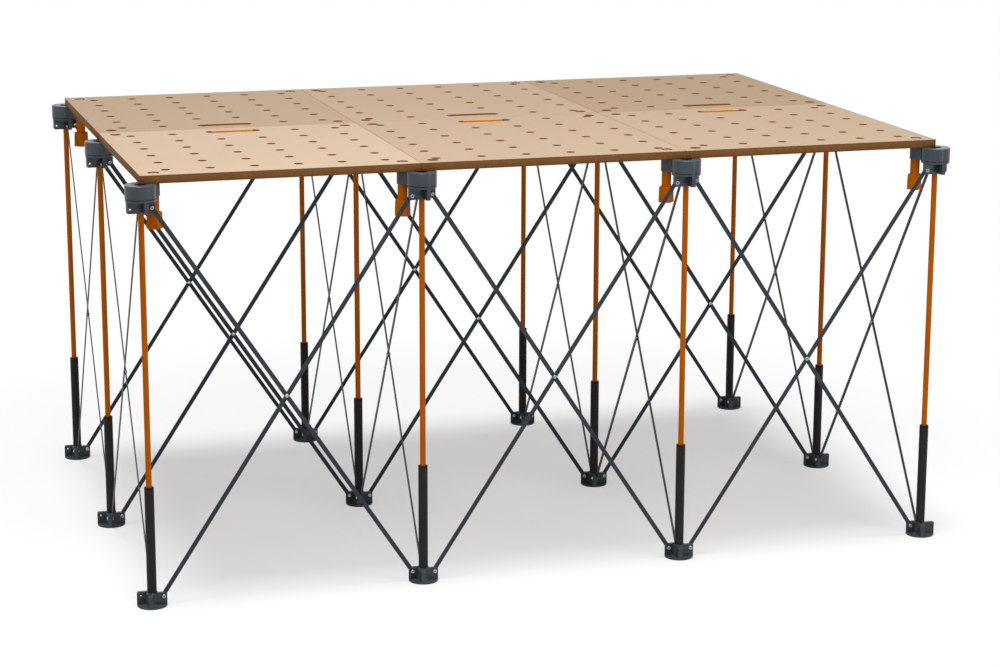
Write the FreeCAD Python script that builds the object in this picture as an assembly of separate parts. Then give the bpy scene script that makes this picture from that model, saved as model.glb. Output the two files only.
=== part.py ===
# Folding work platform: a scissor frame on telescoping legs, with six holed boards laid on its heads.
# The origin is on the floor under the middle of the platform, X runs along it, Y across it and Z up.
import FreeCAD, Part
import os
from math import atan2, cos, degrees, hypot, pi, sin, sqrt
from FreeCAD import Vector

# Whole platform, in millimetres
PITCH = 609.6  # leg to leg, along and across
ROWS = ("front", "mid", "rear")
COLUMNS = 4
HEAD_TOP = 927.0  # floor to the rings that carry the boards
RUN = 0.3  # gap between faces that slide past each other

# Boards
BOARD_T = 18.0
SEAM = 0.6
DOG_D = 20.0
DOG_COUNT = 6
SIDE_DOG_PITCH = (96.0, 96.0)
MID_DOG_PITCH = (103.0, 100.0)  # the middle boards are drilled a little wider
CORNER_HOLE_D = 25.0
CORNER_HOLE_IN = 34.0  # from both edges of the board
CORNER_HOLE_DEEP, BOLT_HOLE_D = 9.0, 10.0  # each corner hole is a seat for a clamp bolt's head
SLOT_L, SLOT_W = 128.0, 30.0
SLOT_IN = 52.0  # seam to the middle of the hand slot
GRIP_T, GRIP_ROUND = 3.6, 1.6

# Scissor bars and their rivets
BAR_W, BAR_T = 10.0, 2.0
BAR_GAP = 1.4  # between the two bars of a scissor
RIVET_D, RIVET_BORE_D, RIVET_RUN = 5.0, 3.4, 0.05
RIVET_HEAD_D, RIVET_CROWN_D, RIVET_HEAD_T = 9.0, 6.0, 1.4
WASHER_D, WASHER_T = 10.0, 1.0

# Legs
UPPER_D, LOWER_D, TUBE_WALL = 12.7, 21.0, 1.2
LOWER_TOP = 264.0
PLUG_L, PLUG_FLOOR, PLUG_RUN = 30.0, 3.0, 0.2
COLLAR_IN, COLLAR_LIP, COLLAR_RUN = 26.0, 4.0, 0.15

# Lugs that the bars are riveted to, four to a hub, set round the leg like a pinwheel
LUG_T = 9.0
LUG_ROUND = 5.0
PIVOT_OUT = 24.0  # leg axis to rivet
PIVOT_EDGE = 9.0  # rivet to the free edge of its lug

# Foot: a thin round sole with lugs as wide as it
FOOT_R, FOOT_H, SOLE_H, SOLE_ROUND, SOLE_EASE = 33.0, 31.0, 4.0, 1.2, 0.6
FOOT_HUB_R, FOOT_HUB_H, HUB_SHOULDER, HUB_LIP = 14.0, 30.0, 2.5, 1.0

# Head: a ring with a grooved lip, over a bracket that is a little narrower
RING_R, RING_H, RING_WALL, RING_TOP_T, RING_ROUND = 33.0, 35.5, 3.5, 4.0, 1.5
GROOVE_DOWN, GROOVE_DEEP, GROOVE_W, LIP_STEP = 28.6, 1.8, 0.9, 0.5
SOCKET_D, SOCKET_DEEP, SOCKET_WALL, SOCKET_EASE = 25.4, 27.0, 3.5, 1.0
BRACKET_R, BRACKET_H, HEAD_HUB_R, HEAD_HUB_SHORT, TUBE_SEAT = 32.0, 24.5, 11.0, 4.0, 30.0

# Board clamps on the heads of the two outer rows
CLAMP_OUT = CORNER_HOLE_IN * sqrt(2)
ARM_W, ARM_H, ARM_EASE = 26.0, 31.0, 1.0
STUD_D, STUD_RUN, STUD_BACK, STUD_GRIP = 8.0, 0.3, 0.5, 24.0
STEM_AF, STEM_L = 21.0, 34.0
KNOB_TOP, KNOB_BOTTOM, KNOB_L = 28.0, 29.5, 36.0
KNOB_SHOULDER, KNOB_NECK, KNOB_ROUND = 2.2, 25.0, 7.0
# Which way each outer head's clamp points along X, from the first leg to the last
CLAMP_TURN = (1, -1, -1, -1)

# Worked out from the above
BAR_OFF = (BAR_T + BAR_GAP) / 2
LUG_IN = BAR_OFF + BAR_T / 2 + RUN
FOOT_PIVOT = FOOT_H - PIVOT_EDGE
HEAD_PIVOT = HEAD_TOP - RING_H - BRACKET_H + PIVOT_EDGE
BAR_SPAN, BAR_RISE = PITCH - 2 * PIVOT_OUT, HEAD_PIVOT - FOOT_PIVOT
BAR_L, BAR_LEAN = hypot(BAR_SPAN, BAR_RISE), degrees(atan2(BAR_SPAN, BAR_RISE))
LOWER_BORE_R = LOWER_D / 2 - TUBE_WALL
Z_AXIS, Y_AXIS = Vector(0, 0, 1), Vector(0, 1, 0)


def at_xz(place):
    return Vector(place[0], 0, place[1])


def outline(start, *steps):
    """A face in the XZ plane. A step is the next point, or a (through, end) pair for an arc."""
    edges, here = [], start
    for step in steps + (start,):
        through, end = step if isinstance(step[0], tuple) else (None, step)
        if end != here:
            line = Part.LineSegment(at_xz(here), at_xz(end))
            edges.append((Part.Arc(at_xz(here), at_xz(through), at_xz(end)) if through else line).toShape())
        here = end
    return Part.Face(Part.Wire(edges))


def corner(x, z, radius, before, after):
    """Outline steps round a square corner; before and after point along its two sides, away from it."""
    cut = radius * (1 - sqrt(0.5))
    first = (x + radius * before[0], z + radius * before[1])
    middle = (x + cut * (before[0] + after[0]), z + cut * (before[1] + after[1]))
    return first, (middle, (x + radius * after[0], z + radius * after[1]))


def spun(face):
    return face.revolve(Vector(), Z_AXIS, 360)


def cylinder(diameter, low, high, x=0.0, y=0.0):
    return Part.makeCylinder(diameter / 2, high - low, Vector(x, y, low))


def tube(diameter, bore, low, high):
    return cylinder(diameter, low, high).cut(cylinder(bore, low, high))


def turned(shape, angle, place=Vector()):
    """A copy turned about the upright axis, then moved."""
    copy = shape.copy()
    copy.rotate(Vector(), Z_AXIS, angle)
    copy.translate(place)
    return copy


def across(shape, place):
    """A copy of a shape made along Z, laid along Y, with its origin at place."""
    copy = shape.copy()
    copy.rotate(Vector(), Vector(1, 0, 0), -90)
    copy.translate(place)
    return copy


def rivet(grip):
    """A tubular rivet along Z with its first head below the origin; grip is the length between its heads."""
    bore, shank, head, crown = RIVET_BORE_D / 2, RIVET_D / 2, RIVET_HEAD_D / 2, RIVET_CROWN_D / 2
    low, high = -RIVET_HEAD_T, grip + RIVET_HEAD_T
    return spun(outline((bore, low), (crown, low), (head, 0), (shank, 0), (shank, grip),
                        (head, grip), (crown, high), (bore, high)))


# Scissor bars

def bar(middle_hole):
    """One flat bar along Z, centred on the origin, with its end holes and its middle hole."""
    half, side = BAR_L / 2, BAR_W / 2
    strip = outline((-side, -half), (-side, half), ((0, half + side), (side, half)),
                    (side, -half), ((0, -half - side), (-side, -half)))
    solid = strip.extrude(Vector(0, BAR_T, 0))
    solid.translate(Vector(0, -BAR_T / 2, 0))
    end_hole = RIVET_D + 2 * RIVET_RUN
    for diameter, up in ((end_hole, -half), (middle_hole, 0), (end_hole, half)):
        solid = solid.cut(across(cylinder(diameter, -BAR_T, BAR_T), Vector(0, 0, up)))
    return solid


def leaned(shape, lean, off):
    copy = shape.copy()
    copy.rotate(Vector(), Y_AXIS, lean)
    copy.translate(Vector(0, off, 0))
    return copy


def rising_bar():
    """Foot to the next head, with the rivet and washer that pin the scissor's two bars."""
    outer_face = -BAR_OFF - BAR_T / 2
    pin = across(rivet(2 * BAR_T + BAR_GAP + RUN), Vector(0, outer_face, 0))
    washer = across(tube(WASHER_D, RIVET_D, 0, WASHER_T), Vector(0, -BAR_GAP / 2, 0))
    return Part.makeCompound([leaned(bar(RIVET_D), BAR_LEAN, -BAR_OFF), pin, washer])


def falling_bar():
    """Head to the next foot."""
    return leaned(bar(RIVET_D + 2 * RIVET_RUN), -BAR_LEAN, BAR_OFF)


# Hubs: the moulded feet and heads

def lug(reach, fixed, free, side):
    """The plate on a hub's +X side, standing on the given side of the bar; its free corner is rounded."""
    back = -1 if free > fixed else 1
    face = outline((0, fixed), (reach, fixed), *corner(reach, free, LUG_ROUND, (0, back), (-1, 0)), (0, free))
    plate = face.extrude(Vector(0, side * LUG_T, 0))
    plate.translate(Vector(0, side * LUG_IN, 0))
    return plate


def moulded_hub(core, plate, pivot, side, bores):
    """The core with four lugs fused round it, then the rivet holes and the bores cut."""
    box = plate.BoundBox
    envelope = cylinder(2 * box.XMax, box.ZMin, box.ZMax)
    plates = [turned(plate, 90 * k).common(envelope) for k in range(4)]
    hole_start = side * LUG_IN if side > 0 else side * (LUG_IN + LUG_T)
    hole = across(cylinder(RIVET_D, 0, LUG_T), Vector(PIVOT_OUT, hole_start, pivot))
    drills = [turned(hole, 90 * k) for k in range(4)]
    return core.multiFuse(plates).cut(Part.makeCompound(drills + bores)).removeSplitter()


def lug_rivet(pivot, side):
    """The rivet of a hub's +X lug, through the lug and the bar beside it."""
    outer = LUG_IN + LUG_T
    grip = outer - (BAR_OFF - BAR_T / 2) + RUN
    start = outer - grip if side > 0 else -outer
    return across(rivet(grip), Vector(PIVOT_OUT, start, pivot))


FOOT_SIDE, HEAD_SIDE = -1, 1


def foot_moulding():
    core = spun(outline((0, 0), *corner(FOOT_R, 0, SOLE_ROUND, (-1, 0), (0, 1)), (FOOT_R, SOLE_H - SOLE_EASE),
                        (FOOT_R - SOLE_EASE, SOLE_H), (FOOT_HUB_R, SOLE_H),
                        (FOOT_HUB_R, FOOT_HUB_H - HUB_SHOULDER), (LOWER_D / 2 + HUB_LIP, FOOT_HUB_H),
                        (0, FOOT_HUB_H)))
    leg_seat = cylinder(LOWER_D, SOLE_H, FOOT_H)
    plate = lug(FOOT_R, SOLE_H / 2, FOOT_H, FOOT_SIDE)
    return moulded_hub(core, plate, FOOT_PIVOT, FOOT_SIDE, [leg_seat])


def clamp_arm():
    """The arm moulded on a ring's +X side, ending in the round boss that the stud passes through."""
    root = sqrt((RING_R - RING_WALL / 2) ** 2 - (ARM_W / 2) ** 2)
    low = HEAD_TOP - ARM_H
    beam = Part.makeBox(CLAMP_OUT - root, ARM_W, ARM_H, Vector(root, -ARM_W / 2, low))
    pocket = cylinder(2 * (RING_R - RING_WALL), low, HEAD_TOP)
    arm = beam.fuse(cylinder(ARM_W, low, HEAD_TOP, CLAMP_OUT)).removeSplitter()
    middles = [(edge, edge.CenterOfMass) for edge in arm.Edges]
    rims = [edge for edge, middle in middles if middle.z in (low, HEAD_TOP) and middle.x > root]
    return arm.makeChamfer(ARM_EASE, rims).cut(pocket)


def head_moulding(clamp_angle):
    """The ring with its peg socket over the bracket that the bars are riveted to; angle None has no clamp."""
    top, under, low = HEAD_TOP, HEAD_TOP - RING_H, HEAD_TOP - RING_H - BRACKET_H
    socket, boss, inside = SOCKET_D / 2, SOCKET_D / 2 + SOCKET_WALL, RING_R - RING_WALL
    hub_low, groove, lip = low + HEAD_HUB_SHORT, top - GROOVE_DOWN, RING_R - LIP_STEP
    core = spun(outline(
        (0, top), *corner(RING_R, top, RING_ROUND, (-1, 0), (0, -1)),
        (RING_R, groove), (RING_R - GROOVE_DEEP, groove - GROOVE_W), (lip, groove - 2 * GROOVE_W),
        (lip, under), (inside, under), (inside, top - RING_TOP_T), (boss, top - RING_TOP_T),
        (boss, under), (HEAD_HUB_R, under), (HEAD_HUB_R, hub_low), (0, hub_low)))
    if clamp_angle is not None:
        stud_hole = cylinder(STUD_D + 2 * STUD_RUN, top - ARM_H, top, CLAMP_OUT)
        core = core.fuse(turned(clamp_arm().cut(stud_hole), clamp_angle))
    leg_seat = cylinder(UPPER_D, low, top - TUBE_SEAT)
    peg_socket = spun(outline((0, top), (0, top - SOCKET_DEEP), (socket, top - SOCKET_DEEP),
                              (socket, top - SOCKET_EASE), (socket + SOCKET_EASE, top)))
    plate = lug(BRACKET_R, top - RING_TOP_T, low, HEAD_SIDE)
    return moulded_hub(core, plate, HEAD_PIVOT, HEAD_SIDE, [leg_seat, peg_socket])


# Clamp knobs

def rounded_square(size, z):
    half, edge = size / 2, size / 2 - KNOB_ROUND
    near = half - KNOB_ROUND * (1 - sqrt(0.5))
    edges = []
    for k in range(4):
        turn = FreeCAD.Rotation(Z_AXIS, 90 * k)
        side = [turn.multVec(Vector(x, y, z)) for x, y in
                ((half, -edge), (half, edge), (near, near), (edge, half))]
        edges += [Part.LineSegment(side[0], side[1]).toShape(), Part.Arc(*side[1:]).toShape()]
    return Part.Wire(edges)


def octagon(across_flats, z):
    reach = across_flats / 2 / cos(pi / 8)
    points = [Vector(reach * cos(pi * k / 4), reach * sin(pi * k / 4), z) for k in range(9)]
    return Part.makePolygon(points)


def clamp_parts():
    """The knob and its stud for a clamp that points along +X, backed off just below the board."""
    stem_top = HEAD_TOP - ARM_H
    knob_top = stem_top - STEM_L
    stem = Part.Face(octagon(STEM_AF, knob_top)).extrude(Vector(0, 0, STEM_L))
    grip = Part.makeLoft([rounded_square(KNOB_NECK, knob_top),
                          rounded_square(KNOB_TOP, knob_top - KNOB_SHOULDER),
                          rounded_square(KNOB_BOTTOM, knob_top - KNOB_L)], True, True)
    stud = cylinder(STUD_D, stem_top - STUD_GRIP, HEAD_TOP - STUD_BACK)
    knob = stem.fuse(grip).cut(cylinder(STUD_D, stem_top - STUD_GRIP, stem_top)).removeSplitter()
    return [turned(piece, 0, Vector(CLAMP_OUT, 0, 0)) for piece in (knob, stud)]


# Legs

def lower_tube_parts():
    """The outer tube with the collar that guides the inner one."""
    pipe = tube(LOWER_D, 2 * LOWER_BORE_R, SOLE_H, LOWER_TOP)
    low, lip = LOWER_TOP - COLLAR_IN, LOWER_TOP + COLLAR_LIP
    bore, outside = UPPER_D / 2 + COLLAR_RUN, LOWER_D / 2
    collar = spun(outline((bore, low), (LOWER_BORE_R, low), (LOWER_BORE_R, LOWER_TOP), (outside, LOWER_TOP),
                          (outside, lip - 1), (outside - 1, lip), (bore, lip)))
    return [pipe, collar]


def upper_tube_parts():
    """The inner tube with the plug that slides in the outer one and stops on the foot."""
    low = SOLE_H + RUN
    seat = low + PLUG_FLOOR
    pipe = tube(UPPER_D, UPPER_D - 2 * TUBE_WALL, seat, HEAD_TOP - TUBE_SEAT)
    plug = cylinder(2 * (LOWER_BORE_R - PLUG_RUN), low, low + PLUG_L)
    return [pipe, plug.cut(cylinder(UPPER_D, seat, low + PLUG_L))]


def used_lugs(row, column):
    """The quarter turns, from +X, of the lugs that carry a bar on this leg."""
    in_use = (column < COLUMNS - 1, row < len(ROWS) - 1, column > 0, row > 0)
    return [k for k in range(4) if in_use[k]]


def leg_place(row, column):
    return Vector((column - (COLUMNS - 1) / 2) * PITCH, (row - (len(ROWS) - 1) / 2) * PITCH, 0)


def clamp_angle(row, column):
    """The way a head's clamp points, or None in the row that has none."""
    if ROWS[row] == "mid":
        return None
    return degrees(atan2(1 if row == 0 else -1, CLAMP_TURN[column]))


# Boards

def board(dog_pitch):
    """One board, its seam edge towards +Y, centred on the origin in X and Y."""
    size, top = PITCH - SEAM, HEAD_TOP + BOARD_T
    solid = Part.makeBox(size, size, BOARD_T, Vector(-size / 2, -size / 2, HEAD_TOP))
    slot_y = PITCH / 2 - SLOT_IN
    drills = []
    for i in range(DOG_COUNT):
        for j in range(DOG_COUNT):
            x, y = [(n - (DOG_COUNT - 1) / 2) * gap for n, gap in zip((i, j), dog_pitch)]
            if j < DOG_COUNT - 1 or abs(x) > SLOT_L / 2:
                drills.append(cylinder(DOG_D, HEAD_TOP, top, x, y))
    corner_at = PITCH / 2 - CORNER_HOLE_IN
    for x in (-corner_at, corner_at):
        for y in (-corner_at, corner_at):
            seat = cylinder(CORNER_HOLE_D, top - CORNER_HOLE_DEEP, top, x, y)
            drills.append(seat.fuse(cylinder(BOLT_HOLE_D, HEAD_TOP, top, x, y)))
    end, side = (SLOT_L - SLOT_W) / 2, SLOT_W / 2
    hand_slot = outline((-end, -side), ((-end - side, 0), (-end, side)), (end, side),
                        ((end + side, 0), (end, -side))).extrude(Vector(0, BOARD_T, 0))
    hand_slot.rotate(Vector(), Vector(1, 0, 0), 90)
    hand_slot.translate(Vector(0, slot_y, HEAD_TOP))
    return solid.cut(Part.makeCompound(drills + [hand_slot]))


def grip():
    """The moulded liner on the seam side of a board's hand slot."""
    wall = PITCH / 2 - SLOT_IN + SLOT_W / 2
    low, high = HEAD_TOP, HEAD_TOP + BOARD_T
    inner = -GRIP_T
    section = outline((0, low), (0, high), *corner(inner, high, GRIP_ROUND, (1, 0), (0, -1)),
                      *corner(inner, low, GRIP_ROUND, (0, 1), (1, 0)))
    straight = SLOT_L - SLOT_W
    piece = section.extrude(Vector(0, straight, 0))
    return turned(piece, 90, Vector(straight / 2, wall, 0))


def board_places():
    """Each board's drilling, quarter turns and middle, front boards first."""
    for row in range(len(ROWS) - 1):
        for column in range(COLUMNS - 1):
            corners = leg_place(row, column), leg_place(row + 1, column + 1)
            pitch = MID_DOG_PITCH if column == 1 else SIDE_DOG_PITCH
            yield pitch, 180 * row, (corners[0] + corners[1]) * 0.5


# Nodes

def save(name, solids):
    Part.makeCompound(solids).exportStep(f"parts/{name}.step")


def save_legs():
    foot, head, clamp = foot_moulding(), head_moulding(None), clamp_parts()
    lower, upper = lower_tube_parts(), upper_tube_parts()
    foot_rivet, head_rivet = lug_rivet(FOOT_PIVOT, FOOT_SIDE), lug_rivet(HEAD_PIVOT, HEAD_SIDE)
    for row, row_name in enumerate(ROWS):
        for column in range(COLUMNS):
            place, angle = leg_place(row, column), clamp_angle(row, column)
            lugs = used_lugs(row, column)
            low = [foot] + lower + [turned(foot_rivet, 90 * k) for k in lugs]
            high = [head if angle is None else head_moulding(angle)] + upper
            high += [turned(head_rivet, 90 * k) for k in lugs]
            if angle is not None:
                high += [turned(piece, angle) for piece in clamp]
            save(f"lower_leg_{row_name}_{column + 1}", [turned(piece, 0, place) for piece in low])
            save(f"upper_leg_{row_name}_{column + 1}", [turned(piece, 0, place) for piece in high])


def save_bars():
    pair = {"up": rising_bar(), "down": falling_bar()}
    middle = Vector(PITCH / 2, 0, (FOOT_PIVOT + HEAD_PIVOT) / 2)
    for way, shape in pair.items():
        along, over = turned(shape, 0, middle), turned(turned(shape, 0, middle), 90)
        for row, row_name in enumerate(ROWS):
            for column in range(COLUMNS):
                place = leg_place(row, column)
                if column < COLUMNS - 1:
                    save(f"long_bar_{row_name}_{column + 1}_{way}", turned(along, 0, place).Solids)
                if row < len(ROWS) - 1:
                    save(f"cross_bar_{row_name}_{column + 1}_{way}", turned(over, 0, place).Solids)


def save_worktop():
    liner = grip()
    boards = {pitch: board(pitch) for pitch in (SIDE_DOG_PITCH, MID_DOG_PITCH)}
    save("worktop_panels", [turned(boards[pitch], angle, place) for pitch, angle, place in board_places()])
    save("panel_grips", [turned(liner, angle, place) for _, angle, place in board_places()])


os.makedirs("parts", exist_ok=True)
save_legs()
save_bars()
save_worktop()
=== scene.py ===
# Looks of the folding work platform: its finishes and moulded forms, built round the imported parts.
from math import atan2, cos, hypot, pi, radians, sin, sqrt

import bpy
from mathutils import Matrix, Vector


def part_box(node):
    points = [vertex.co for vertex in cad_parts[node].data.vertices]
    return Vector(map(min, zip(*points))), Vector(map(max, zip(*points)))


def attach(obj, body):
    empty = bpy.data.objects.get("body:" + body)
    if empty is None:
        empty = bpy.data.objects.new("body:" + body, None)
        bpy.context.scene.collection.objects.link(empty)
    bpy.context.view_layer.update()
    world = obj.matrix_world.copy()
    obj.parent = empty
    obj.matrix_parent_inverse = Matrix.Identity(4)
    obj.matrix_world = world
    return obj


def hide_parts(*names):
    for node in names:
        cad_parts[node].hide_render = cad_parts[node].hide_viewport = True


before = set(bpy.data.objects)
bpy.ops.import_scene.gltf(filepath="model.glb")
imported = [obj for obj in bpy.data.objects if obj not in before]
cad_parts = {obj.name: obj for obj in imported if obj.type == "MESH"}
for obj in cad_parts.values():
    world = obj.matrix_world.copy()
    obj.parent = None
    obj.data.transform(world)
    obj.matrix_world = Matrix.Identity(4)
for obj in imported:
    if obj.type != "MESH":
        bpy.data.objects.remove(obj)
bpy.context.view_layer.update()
bpy.context.scene.view_settings.view_transform = "Standard"

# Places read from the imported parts, in metres
MM = 0.001
ROWS = ("front", "mid", "rear")
COLUMNS = (1, 2, 3, 4)


def middle_of(node):
    low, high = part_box(node)
    return (low + high) / 2


LEG_AT = {(row, n): middle_of(f"lower_leg_{row}_{n}").xy.to_3d() for row in ROWS for n in COLUMNS}
PITCH = LEG_AT["front", 2].x - LEG_AT["front", 1].x
HEAD_TOP, BOARD_TOP = (end.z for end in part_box("worktop_panels"))
BOARD_T = BOARD_TOP - HEAD_TOP

# Boards
SEAM, BOARD_EDGE, RIM_EASE = 0.6 * MM, 0.5 * MM, 0.4 * MM
DOG_D, DOG_COUNT = 20 * MM, 6
SIDE_DOG_PITCH, MID_DOG_PITCH = (96 * MM, 96 * MM), (103 * MM, 100 * MM)
CORNER_HOLE_D, CORNER_HOLE_DEEP = 25 * MM, 9 * MM
CORNER_HOLE_IN = 34 * MM  # from both edges of the board
BOLT_HOLE_D = 10 * MM
SLOT_L, SLOT_W = 128 * MM, 30 * MM
SLOT_IN = 52 * MM  # from the seam to the slot's middle
GRIP_T, GRIP_ROUND = 3.6 * MM, 1.6 * MM
TONE = "tone"  # each board's own shade, from 0, darkest, to 1
BOARD_TONES = {"front": (0.62, 0.39, 0.39), "rear": (0.27, 0.36, 0.14)}
CUT_SLOPE = 0.9  # a board's faces flatter than this keep the face finish

# Scissor bars and rivets
BAR_W, BAR_T, BAR_EDGE = 10 * MM, 2 * MM, 0.3 * MM
BAR_GAP = 1.4 * MM  # between two crossing bars
RIVET_D, RIVET_BORE_D = 5 * MM, 3.4 * MM
RIVET_HEAD_D, RIVET_HEAD_T = 9 * MM, 1.4 * MM
RIVET_RUN = 0.3 * MM  # play along a rivet
WASHER_D, WASHER_T = 10 * MM, 1 * MM

# Leg tubes and what slides in them
UPPER_D, LOWER_D = 12.7 * MM, 21 * MM
TUBE_WALL, TUBE_EDGE = 1.2 * MM, 0.3 * MM
LOWER_TOP = 264 * MM
PLUG_L, PLUG_FLOOR, PLUG_EDGE = 30 * MM, 3 * MM, 1 * MM
PLUG_RUN = 0.2 * MM  # between a plug and its outer tube
FOOT_RUN = 0.3 * MM  # between a plug and the foot under it
COLLAR_IN, COLLAR_LIP = 26 * MM, 4 * MM
COLLAR_ROUND, COLLAR_EASE = 1.5 * MM, 0.6 * MM
COLLAR_RUN = 0.15 * MM  # between a collar and its inner tube

# Lugs of the moulded hubs
LUG_T, LUG_ROUND, MOULD_EDGE = 9 * MM, 5 * MM, 0.6 * MM
PIVOT_OUT = 24 * MM  # from the leg's middle
PIVOT_EDGE = 9 * MM  # from the lug's free edge
FOOT_SIDE, HEAD_SIDE = -1, 1  # the side of the bars on which a hub's lugs stand

# Feet
FOOT_R, FOOT_H = 33 * MM, 31 * MM
SOLE_H, SOLE_ROUND, SOLE_EASE = 4 * MM, 1.2 * MM, 0.8 * MM
FOOT_HUB_R, FOOT_HUB_H = 14 * MM, 30 * MM
HUB_FILLET, HUB_SHOULDER, HUB_RIM = 2 * MM, 2.5 * MM, 1 * MM
FOOT_LUG_IN = 0.1 * MM  # the lugs end just inside the sole

# Heads
RING_R, RING_H, RING_WALL, RING_TOP_T = 33 * MM, 35.5 * MM, 3.5 * MM, 4 * MM
RING_ROUND, RING_LOW_ROUND = 1.5 * MM, 0.8 * MM
GROOVE_DOWN, GROOVE_DEEP, GROOVE_W = 28.6 * MM, 1.8 * MM, 0.9 * MM
LIP_STEP = 0.5 * MM  # how far the lip under the groove stands back
SOCKET_D, SOCKET_DEEP = 25.4 * MM, 27 * MM
SOCKET_WALL, SOCKET_EASE = 3.5 * MM, 1 * MM
BRACKET_R, BRACKET_H = 32 * MM, 24.5 * MM
HEAD_HUB_R, HEAD_HUB_SHORT = 11 * MM, 4 * MM
TUBE_SEAT = 30 * MM  # from a head's top down to the end of its tube

# Board clamps and the bolts over them
CLAMP_OUT = CORNER_HOLE_IN * sqrt(2)
CLAMP_TURN = {1: 1, 2: -1, 3: -1, 4: -1}  # which way along X the clamps of a column point
ARM_W, ARM_H, ARM_EDGE = 26 * MM, 31 * MM, 1 * MM
STUD_D, STUD_EDGE = 8 * MM, 0.8 * MM
STUD_HOLE_D = 1.08 * STUD_D
STUD_BACK = 0.5 * MM  # below the boards
STUD_GRIP = 24 * MM  # below the arm, inside the stem
STEM_SIDES, STEM_AF, STEM_L, STEM_GROOVE = 8, 21 * MM, 34 * MM, 1.6 * MM
KNOB_TOP, KNOB_BOTTOM, KNOB_NECK = 28 * MM, 29.5 * MM, 25 * MM
KNOB_L, KNOB_SHOULDER = 36 * MM, 2.2 * MM
KNOB_ROUND, KNOB_EDGE = 7 * MM, 1 * MM
BOLT_D, BOLT_DOWN, BOLT_ROUND = 13 * MM, 1 * MM, 1 * MM
BOLT_KEY, BOLT_KEY_SIDES = 7 * MM, 6
BOLT_RING_D, BOLT_RING_T = 23 * MM, 1.6 * MM

# Worked out from the above
BAR_OFF = (BAR_T + BAR_GAP) / 2
LUG_IN = BAR_OFF + BAR_T / 2 + RIVET_RUN
LUG_OUT = LUG_IN + LUG_T
CROSSING_GRIP = 2 * BAR_T + BAR_GAP + RIVET_RUN
LUG_GRIP = LUG_OUT - (BAR_OFF - BAR_T / 2) + RIVET_RUN
FOOT_PIVOT = FOOT_H - PIVOT_EDGE
BRACKET_LOW = HEAD_TOP - RING_H - BRACKET_H
HEAD_PIVOT = BRACKET_LOW + PIVOT_EDGE
BAR_SPAN, BAR_RISE = PITCH - 2 * PIVOT_OUT, HEAD_PIVOT - FOOT_PIVOT
BAR_L, BAR_LEAN = hypot(BAR_SPAN, BAR_RISE), atan2(BAR_SPAN, BAR_RISE)
LOWER_BORE = LOWER_D / 2 - TUBE_WALL

# How finely pieces are drawn
ROUND_STEPS, HOLE_STEPS, TUBE_STEPS, RING_STEPS = 32, 40, 64, 96
ARC_STEPS, RIM_STEPS = 6, 10
NEAR, DOUBLED = 1e-5, 1e-6  # metres within which points count as in place, and as one
ALONG = 0.5  # an edge or a normal runs along an axis if that part of it is larger
EASE_ANGLE, SMOOTH_ANGLE = 50, 32  # degrees past which an edge is rounded, or shaded sharp
VERTICES, EDGES, FACES = (True, False, False), (False, True, False), (False, False, True)


# Modelling by hand

def start(primitive, **settings):
    """Adds a primitive with nothing else selected, and puts its place and size into its mesh."""
    bpy.ops.object.select_all(action="DESELECT")
    primitive(**settings)
    bpy.ops.object.transform_apply(location=True, rotation=True, scale=True)
    return bpy.context.object


def block(low, high):
    """A box between two corners."""
    low, high = Vector(low), Vector(high)
    return start(bpy.ops.mesh.primitive_cube_add, size=1, location=(low + high) / 2, scale=high - low)


def drum(diameter, low, high, x=0.0, y=0.0, sides=HOLE_STEPS):
    """A cylinder along Z between two heights."""
    return start(bpy.ops.mesh.primitive_cylinder_add, vertices=sides, radius=diameter / 2,
                 depth=high - low, location=(x, y, (low + high) / 2))


def alone(piece):
    """Makes a piece the only one selected, ready for an operator."""
    bpy.ops.object.select_all(action="DESELECT")
    piece.select_set(True)
    bpy.context.view_layer.objects.active = piece


def select(piece, kind, wanted):
    """Selects the vertices, edges or faces whose middle, and direction or normal, pass a test."""
    alone(piece)
    mesh = piece.data
    points = [v.co.copy() for v in mesh.vertices]
    for items in (mesh.vertices, mesh.edges, mesh.polygons):
        items.foreach_set("select", [False] * len(items))
    if kind == VERTICES:
        mesh.vertices.foreach_set("select", [wanted(p) for p in points])
    elif kind == EDGES:
        ends = [[points[index] for index in edge.vertices] for edge in mesh.edges]
        mesh.edges.foreach_set("select", [wanted((a + b) / 2, (b - a).normalized()) for a, b in ends])
    else:
        mesh.polygons.foreach_set("select", [wanted(face.center, face.normal) for face in mesh.polygons])
    bpy.context.tool_settings.mesh_select_mode = kind


def shape(operator, **settings):
    """One edit-mode step on what is selected."""
    bpy.ops.object.mode_set(mode="EDIT")
    operator(**settings)
    bpy.ops.object.mode_set(mode="OBJECT")


def upright(p, way):
    """Passes the edges that run up."""
    return abs(way.z) > ALONG


def level(p, way):
    """Passes the edges that run across."""
    return abs(way.z) < ALONG


def soften(piece, width, wanted=None, segments=2, profile=0.5):
    """Rounds the edges that pass a test, or all of them; a profile of 0 notches them instead."""
    select(piece, EDGES, wanted or (lambda p, way: True))
    shape(bpy.ops.mesh.bevel, offset=width, offset_type="OFFSET", segments=segments, profile=profile,
          clamp_overlap=True)
    return piece


def ease(piece, width):
    """Rounds every sharp edge a little."""
    modifier = piece.modifiers.new("ease", "BEVEL")
    modifier.width, modifier.segments, modifier.limit_method = width, 2, "ANGLE"
    modifier.angle_limit = radians(EASE_ANGLE)
    alone(piece)
    bpy.ops.object.modifier_apply(modifier=modifier.name)
    return piece


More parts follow.
